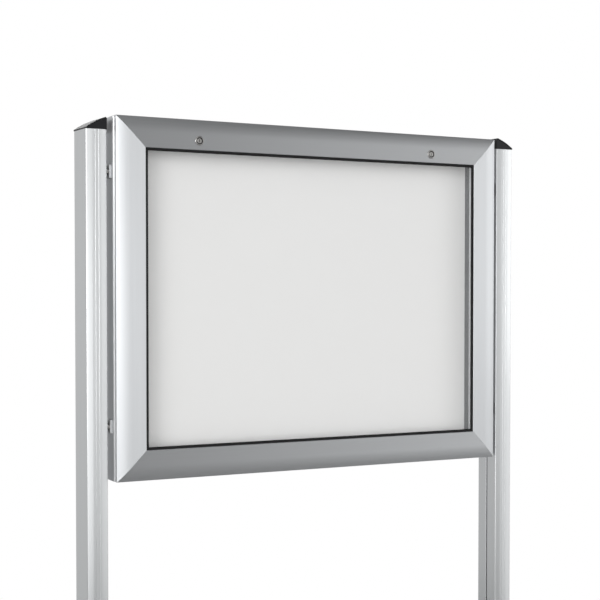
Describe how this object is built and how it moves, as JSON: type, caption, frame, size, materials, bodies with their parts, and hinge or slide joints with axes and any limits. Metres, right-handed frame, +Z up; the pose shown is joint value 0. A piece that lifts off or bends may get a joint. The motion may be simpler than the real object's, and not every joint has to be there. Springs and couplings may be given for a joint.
{
  "type": "lockable notice board",
  "caption": "Glazed aluminium notice case between two fluted posts, its mitred frame door hinged along the bottom and closed by cam locks in the top rail.",
  "frame": {"origin": "on the ground, midway between the two posts, at their mid-depth", "axes": "+Z up, +X to the right as seen from the front, -Y out of the glazed front"},
  "size_m": [1.096, 0.2, 1.8998],
  "materials": {
    "post_aluminium": "natural satin anodised extrusion",
    "cap_plastic": "moulded near-black grey, satin top",
    "foot_steel": "hot-dip galvanised plate",
    "fixing_steel": "stainless steel",
    "bracket_aluminium": "mill-finish extrusion",
    "housing_aluminium": "natural satin anodised extrusion",
    "door_aluminium": "natural satin anodised extrusion",
    "cleat_alloy": "as cast",
    "display_white": "smooth white enamelled steel",
    "board_foam": "foamed sheet",
    "cover_sheet": "grey coated sheet",
    "clip_steel": "bright zinc plated",
    "seal_rubber": "extruded black sponge rubber",
    "gasket_rubber": "extruded black rubber",
    "bead_aluminium": "natural satin anodised extrusion",
    "pane_glass": "clear toughened sheet",
    "hinge_steel": "stainless steel",
    "lock_nickel": "satin nickel plated die-casting",
    "lock_steel": "zinc plated pressing"
  },
  "bodies": {
    "frame": {"post_left": "post_aluminium", "post_right": "post_aluminium", "post_cap_left": "cap_plastic", "post_cap_right": "cap_plastic", "foot_left": "foot_steel", "foot_right": "foot_steel", "foot_screws": "fixing_steel", "bracket_screws": "fixing_steel", "rivet_nuts": "fixing_steel", "rear_clip_screws": "fixing_steel", "hinge_rivets_housing": "fixing_steel", "bracket_left_upper": "bracket_aluminium", "bracket_left_lower": "bracket_aluminium", "bracket_right_upper": "bracket_aluminium", "bracket_right_lower": "bracket_aluminium", "housing_top_rail": "housing_aluminium", "housing_bottom_rail": "housing_aluminium", "housing_left_rail": "housing_aluminium", "housing_right_rail": "housing_aluminium", "housing_corner_cleats": "cleat_alloy", "display_panel": "display_white", "backing_board": "board_foam", "rear_cover": "cover_sheet", "rear_clips": "clip_steel", "door_seal_top": "seal_rubber", "door_seal_bottom": "seal_rubber", "door_seal_left": "seal_rubber", "door_seal_right": "seal_rubber", "hinge_lugs": "hinge_steel", "hinge_pins": "hinge_steel"},
    "door": {"door_top_rail": "door_aluminium", "door_bottom_rail": "door_aluminium", "door_left_stile": "door_aluminium", "door_right_stile": "door_aluminium", "door_corner_cleats": "cleat_alloy", "glazing_pane": "pane_glass", "hinge_leaves": "hinge_steel", "hinge_rivets_door": "fixing_steel", "lock_barrel_left": "lock_nickel", "lock_barrel_right": "lock_nickel", "lock_nut_left": "lock_steel", "lock_nut_right": "lock_steel", "gasket_top": "gasket_rubber", "gasket_bottom": "gasket_rubber", "gasket_left": "gasket_rubber", "gasket_right": "gasket_rubber", "glazing_bead_top": "bead_aluminium", "glazing_bead_bottom": "bead_aluminium", "glazing_bead_left": "bead_aluminium", "glazing_bead_right": "bead_aluminium"},
    "lock_left": {"lock_plug_left": "lock_nickel", "lock_cam_left": "lock_steel", "cam_nut_left": "lock_steel"},
    "lock_right": {"lock_plug_right": "lock_nickel", "lock_cam_right": "lock_steel", "cam_nut_right": "lock_steel"}
  },
  "joints": [
    {"name": "door_hinge", "type": "hinge", "parent": "frame", "child": "door", "pos_m": [0, -0.03445, 1.1886], "axis": [1, 0, 0], "range_deg": [0, 100]},
    {"name": "lock_left_turn", "type": "hinge", "parent": "door", "child": "lock_left", "pos_m": [-0.2775, -0.0487, 1.85325], "axis": [0, -1, 0], "range_deg": [0, 90]},
    {"name": "lock_right_turn", "type": "hinge", "parent": "door", "child": "lock_right", "pos_m": [0.2775, -0.0487, 1.85325], "axis": [0, 1, 0], "range_deg": [0, 90]}
  ]
}
